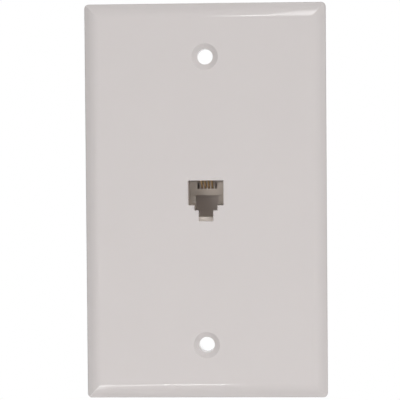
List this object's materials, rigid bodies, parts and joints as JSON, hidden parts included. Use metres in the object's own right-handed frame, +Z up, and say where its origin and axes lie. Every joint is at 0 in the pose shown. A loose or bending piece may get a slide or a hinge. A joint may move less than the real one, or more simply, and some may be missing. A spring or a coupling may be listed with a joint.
{
  "type": "telephone wall socket",
  "caption": "Flush telephone wall plate with bevelled edges, countersunk fixing holes and a modular plug socket, whose sprung contacts are wired to screw terminals on the back.",
  "frame": {"origin": "middle of the plate, on the plane of the wall that the rim rests on", "axes": "+X to the right as seen from the room, +Y into the wall, +Z up"},
  "size_m": [0.0698, 0.028, 0.1142],
  "materials": {
    "plate_plastic": "glossy moulded plastic, pale warm grey",
    "jack_plastic": "moulded plastic, pale warm grey",
    "cap_plastic": "matt moulded plastic, grey brown",
    "base_plastic": "satin moulded plastic, pale grey",
    "gold_wire": "gold plated spring wire",
    "tinned_metal": "tinned",
    "brass_insert": "turned brass",
    "screw_metal": "zinc plated",
    "washer_metal": "pressed brass",
    "lug_metal": "tinned",
    "lead_green": "vinyl insulation",
    "lead_red": "vinyl insulation",
    "lead_black": "vinyl insulation",
    "lead_yellow": "vinyl insulation"
  },
  "bodies": {
    "root": {"contact_carrier": "jack_plastic", "contact_wire_1": "gold_wire", "contact_wire_2": "gold_wire", "contact_wire_3": "gold_wire", "contact_wire_4": "gold_wire", "crimp_splice_1": "tinned_metal", "crimp_splice_2": "tinned_metal", "crimp_splice_3": "tinned_metal", "crimp_splice_4": "tinned_metal", "faceplate": "plate_plastic", "jack_housing": "jack_plastic", "lead_wire_black": "lead_black", "lead_wire_green": "lead_green", "lead_wire_red": "lead_red", "lead_wire_yellow": "lead_yellow", "rear_cap": "cap_plastic", "spade_lug_1": "lug_metal", "spade_lug_2": "lug_metal", "spade_lug_3": "lug_metal", "spade_lug_4": "lug_metal", "terminal_base": "base_plastic", "terminal_insert_1": "brass_insert", "terminal_insert_2": "brass_insert", "terminal_insert_3": "brass_insert", "terminal_insert_4": "brass_insert", "terminal_screw_1": "screw_metal", "terminal_screw_2": "screw_metal", "terminal_screw_3": "screw_metal", "terminal_screw_4": "screw_metal", "terminal_washer_1": "washer_metal", "terminal_washer_2": "washer_metal", "terminal_washer_3": "washer_metal", "terminal_washer_4": "washer_metal"}
  },
  "joints": []
}
